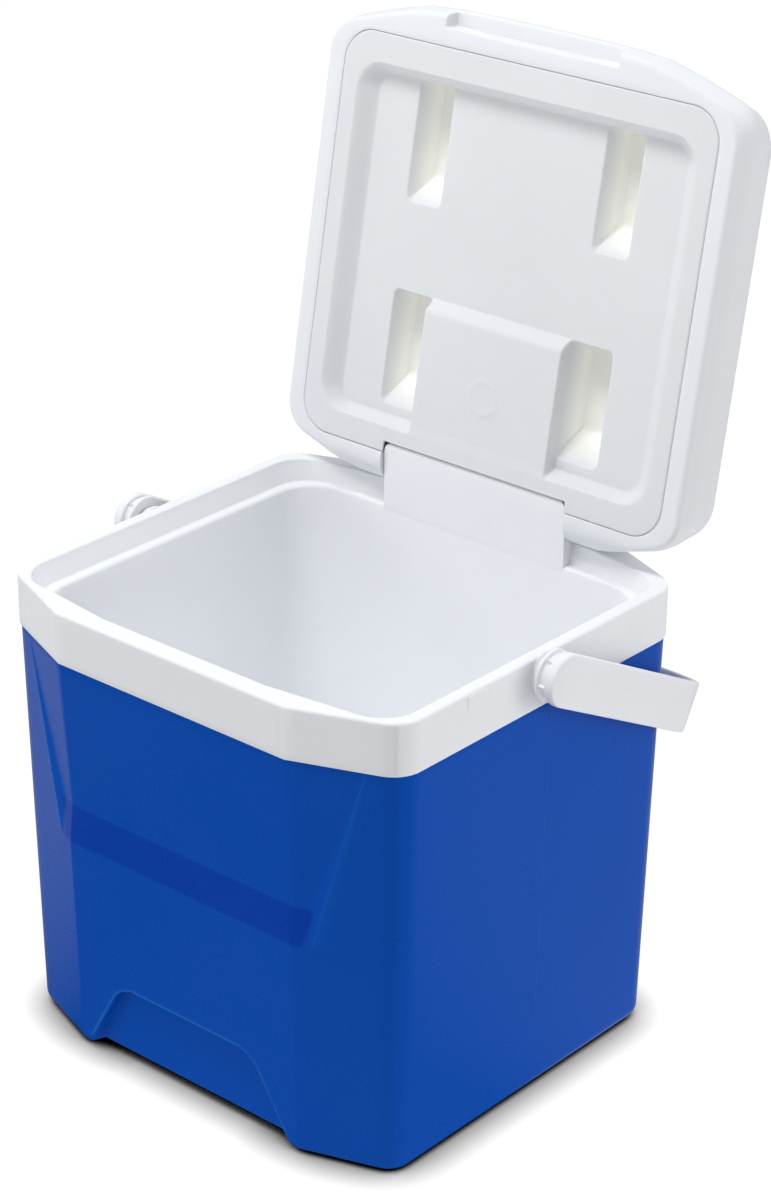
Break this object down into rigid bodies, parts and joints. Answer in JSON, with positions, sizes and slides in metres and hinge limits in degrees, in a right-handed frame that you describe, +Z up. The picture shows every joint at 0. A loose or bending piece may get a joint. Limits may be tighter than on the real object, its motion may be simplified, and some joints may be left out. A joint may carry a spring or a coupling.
{
  "type": "small cooler chest with hinged lid and bail handle",
  "caption": "Small hard-sided insulated cooler chest: blue tapered tub, white rim, liner and hinged hollow lid, swinging white bail handle.",
  "frame": {"origin": "centre of the underside, on the ground plane", "axes": "+Z up, the front with its sunk upper panel towards -Y, the hinge towards +Y, +X to the chest's right seen from the front"},
  "size_m": [0.3254, 0.3366, 0.558],
  "materials": {
    "blue_shell": "satin",
    "foam": "matte",
    "white_liner": "satin",
    "plug": "satin",
    "white_lid": "satin",
    "white_panel": "satin",
    "pins": "satin",
    "white_bail": "satin"
  },
  "bodies": {
    "chest": {"outer_shell": "blue_shell", "body_insulation": "foam", "inner_liner": "white_liner", "foam_fill_plug": "plug"},
    "lid": {"lid_cover": "white_lid", "lid_inner_panel": "white_panel", "hinge_pins": "pins"},
    "handle": {"handle_bail": "white_bail"}
  },
  "joints": [
    {"name": "lid_hinge", "type": "hinge", "parent": "chest", "child": "lid", "pos_m": [0, 0.1246, 0.2943], "axis": [1, 0, 0], "range_deg": [0, 100.2]},
    {"name": "handle_swing", "type": "hinge", "parent": "chest", "child": "handle", "pos_m": [0, -0.0025, 0.2695], "axis": [1, 0, 0], "range_deg": [0, 34]}
  ]
}
